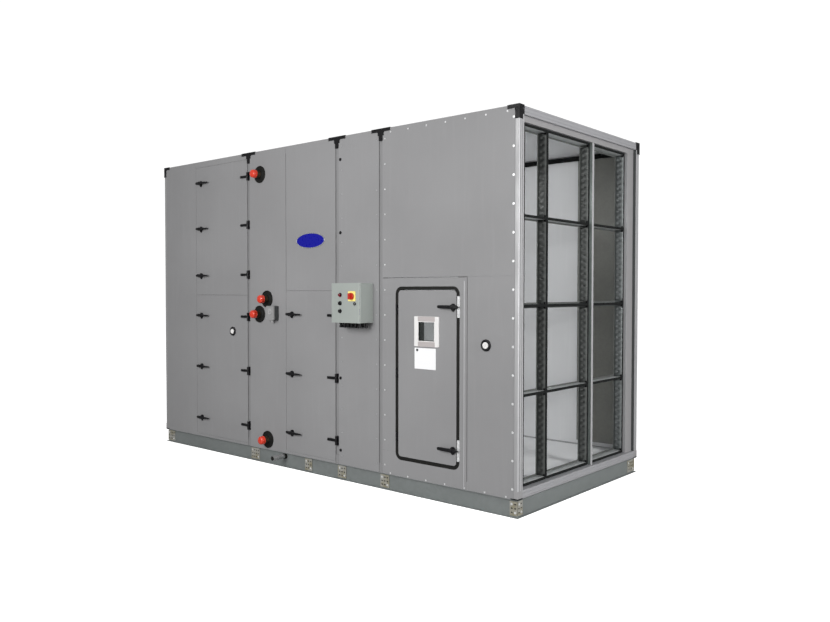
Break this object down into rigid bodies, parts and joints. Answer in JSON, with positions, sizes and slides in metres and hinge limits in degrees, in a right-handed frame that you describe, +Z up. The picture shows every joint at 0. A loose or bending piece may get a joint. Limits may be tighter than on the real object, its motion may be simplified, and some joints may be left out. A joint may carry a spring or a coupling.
{
  "type": "modular air handling unit",
  "caption": "Walk-in air handling unit with an open filter bank, coils with side pipe connections, a plug fan, side doors and a control box on a base frame.",
  "frame": {"origin": "on the floor under the middle of the casing", "axes": "+X along the casing from the discharge end to the air inlet, -Y the service side with doors and pipes, +Z up"},
  "size_m": [4.333, 2.057, 2.803],
  "materials": {
    "painted_grey": "satin",
    "joint_grey": "satin",
    "anodised": "satin",
    "galvanised": "spangled",
    "zinc_plated": "satin",
    "stainless": "brushed",
    "impeller_steel": "satin",
    "motor_blue": "satin",
    "fins": "finned",
    "copper": "dull",
    "black_plastic": "matte",
    "black_rubber": "matte",
    "red_plastic": "gloss",
    "lamp_red": "clear",
    "yellow_plastic": "gloss",
    "white_plastic": "satin",
    "light_plastic": "satin",
    "box_green": "satin",
    "glass": "clear"
  },
  "bodies": {
    "casing": {"base_frame": "galvanised", "base_brackets": "zinc_plated", "frame_profiles": "anodised", "joint_posts": "joint_grey", "plastic_caps": "black_plastic", "front_panels": "painted_grey", "rear_panels": "painted_grey", "roof_panels": "painted_grey", "floor_panels": "painted_grey", "discharge_panel": "painted_grey", "discharge_spigot": "galvanised", "panel_fixings": "zinc_plated", "filter_frames": "galvanised", "gaskets": "black_rubber", "inlet_frame": "anodised", "coil_lower": "fins", "coil_upper": "fins", "coil_pipework": "copper", "pipe_caps": "red_plastic", "pipe_collars": "black_rubber", "drain_pans": "stainless", "droplet_eliminator": "stainless", "frost_thermostat": "light_plastic", "fan_bulkhead": "galvanised", "fan_inlet_cone": "galvanised", "fan_motor": "motor_blue", "fan_base": "galvanised", "hinge_knuckles": "black_plastic", "control_box": "box_green", "cable_glands": "black_plastic"},
    "door_fan_upper": {"door_fan_upper": "painted_grey", "fittings_fan_upper": "black_plastic"},
    "door_fan_lower": {"door_fan_lower": "painted_grey", "fittings_fan_lower": "black_plastic"},
    "door_access": {"door_access": "painted_grey", "fittings_access": "black_plastic"},
    "door_walk_in": {"door_walk_in": "painted_grey", "fittings_walk_in": "black_plastic", "window_frame": "white_plastic", "window_glass": "glass"},
    "control_box_door": {"control_box_door": "box_green", "switch_plate": "yellow_plastic", "device_bezels": "black_plastic", "pilot_lamp": "lamp_red"},
    "switch_knob": {"switch_knob": "red_plastic"},
    "selector_switch": {"selector_switch": "black_plastic"},
    "push_button": {"push_button": "black_plastic"},
    "box_lock": {"box_lock": "black_plastic"},
    "fan_rotor": {"fan_impeller": "impeller_steel"},
    "handle_fan_upper_1": {"handle_fan_upper_1": "black_plastic"},
    "handle_fan_upper_2": {"handle_fan_upper_2": "black_plastic"},
    "handle_fan_upper_3": {"handle_fan_upper_3": "black_plastic"},
    "handle_fan_lower_1": {"handle_fan_lower_1": "black_plastic"},
    "handle_fan_lower_2": {"handle_fan_lower_2": "black_plastic"},
    "handle_fan_lower_3": {"handle_fan_lower_3": "black_plastic"},
    "handle_access_1": {"handle_access_1": "black_plastic"},
    "handle_access_2": {"handle_access_2": "black_plastic"},
    "handle_access_3": {"handle_access_3": "black_plastic"},
    "handle_walk_in_1": {"handle_walk_in_1": "black_plastic"},
    "handle_walk_in_2": {"handle_walk_in_2": "black_plastic"}
  },
  "joints": [
    {"name": "door_fan_upper_hinge", "type": "hinge", "parent": "casing", "child": "door_fan_upper", "pos_m": [-0.765, -0.944, 2.148], "axis": [0, 0, 1], "range_deg": [0, 110]},
    {"name": "door_fan_lower_hinge", "type": "hinge", "parent": "casing", "child": "door_fan_lower", "pos_m": [-0.765, -0.944, 0.814], "axis": [0, 0, 1], "range_deg": [0, 110]},
    {"name": "door_access_hinge", "type": "hinge", "parent": "casing", "child": "door_access", "pos_m": [0.392, -0.944, 0.831], "axis": [0, 0, 1], "range_deg": [0, 90]},
    {"name": "door_walk_in_hinge", "type": "hinge", "parent": "casing", "child": "door_walk_in", "pos_m": [1.048, -0.93, 0.918], "axis": [0, 0, -1], "range_deg": [0, 110]},
    {"name": "control_box_door_hinge", "type": "hinge", "parent": "casing", "child": "control_box_door", "pos_m": [0.472, -1.056, 1.452], "axis": [0, 0, -1], "range_deg": [0, 90]},
    {"name": "main_switch_turn", "type": "hinge", "parent": "control_box_door", "child": "switch_knob", "pos_m": [0.714, -1.081, 1.505], "axis": [0, 1, 0], "range_deg": [0, 90]},
    {"name": "selector_turn", "type": "hinge", "parent": "control_box_door", "child": "selector_switch", "pos_m": [0.584, -1.081, 1.45], "axis": [0, 1, 0], "range_deg": [-45, 45]},
    {"name": "push_button_travel", "type": "slide", "parent": "control_box_door", "child": "push_button", "axis": [0, 1, 0], "range_m": [0, 0.004], "stiffness_N_per_m": 600, "springref_m": -0.001},
    {"name": "box_lock_turn", "type": "hinge", "parent": "control_box_door", "child": "box_lock", "pos_m": [0.747, -1.081, 1.447], "axis": [0, 1, 0], "range_deg": [0, 90]},
    {"name": "handle_fan_upper_1_turn", "type": "hinge", "parent": "door_fan_upper", "child": "handle_fan_upper_1", "pos_m": [-1.502, -0.93, 1.695], "axis": [0, 1, 0], "range_deg": [0, 90]},
    {"name": "handle_fan_upper_2_turn", "type": "hinge", "parent": "door_fan_upper", "child": "handle_fan_upper_2", "pos_m": [-1.502, -0.93, 2.148], "axis": [0, 1, 0], "range_deg": [0, 90]},
    {"name": "handle_fan_upper_3_turn", "type": "hinge", "parent": "door_fan_upper", "child": "handle_fan_upper_3", "pos_m": [-1.502, -0.93, 2.589], "axis": [0, 1, 0], "range_deg": [0, 90]},
    {"name": "handle_fan_lower_1_turn", "type": "hinge", "parent": "door_fan_lower", "child": "handle_fan_lower_1", "pos_m": [-1.502, -0.93, 0.313], "axis": [0, 1, 0], "range_deg": [0, 90]},
    {"name": "handle_fan_lower_2_turn", "type": "hinge", "parent": "door_fan_lower", "child": "handle_fan_lower_2", "pos_m": [-1.502, -0.93, 0.814], "axis": [0, 1, 0], "range_deg": [0, 90]},
    {"name": "handle_fan_lower_3_turn", "type": "hinge", "parent": "door_fan_lower", "child": "handle_fan_lower_3", "pos_m": [-1.502, -0.93, 1.31], "axis": [0, 1, 0], "range_deg": [0, 90]},
    {"name": "handle_access_1_turn", "type": "hinge", "parent": "door_access", "child": "handle_access_1", "pos_m": [-0.166, -0.93, 0.318], "axis": [0, 1, 0], "range_deg": [0, 90]},
    {"name": "handle_access_2_turn", "type": "hinge", "parent": "door_access", "child": "handle_access_2", "pos_m": [-0.166, -0.93, 0.831], "axis": [0, 1, 0], "range_deg": [0, 90]},
    {"name": "handle_access_3_turn", "type": "hinge", "parent": "door_access", "child": "handle_access_3", "pos_m": [-0.166, -0.93, 1.345], "axis": [0, 1, 0], "range_deg": [0, 90]},
    {"name": "handle_walk_in_1_turn", "type": "hinge", "parent": "door_walk_in", "child": "handle_walk_in_1", "pos_m": [1.592, -0.93, 0.398], "axis": [0, -1, 0], "range_deg": [0, 90]},
    {"name": "handle_walk_in_2_turn", "type": "hinge", "parent": "door_walk_in", "child": "handle_walk_in_2", "pos_m": [1.592, -0.93, 1.432], "axis": [0, -1, 0], "range_deg": [0, 90]},
    {"name": "fan_spin", "type": "hinge", "parent": "casing", "child": "fan_rotor", "pos_m": [-1.203, 0, 0.9], "axis": [1, 0, 0], "continuous": true}
  ]
}
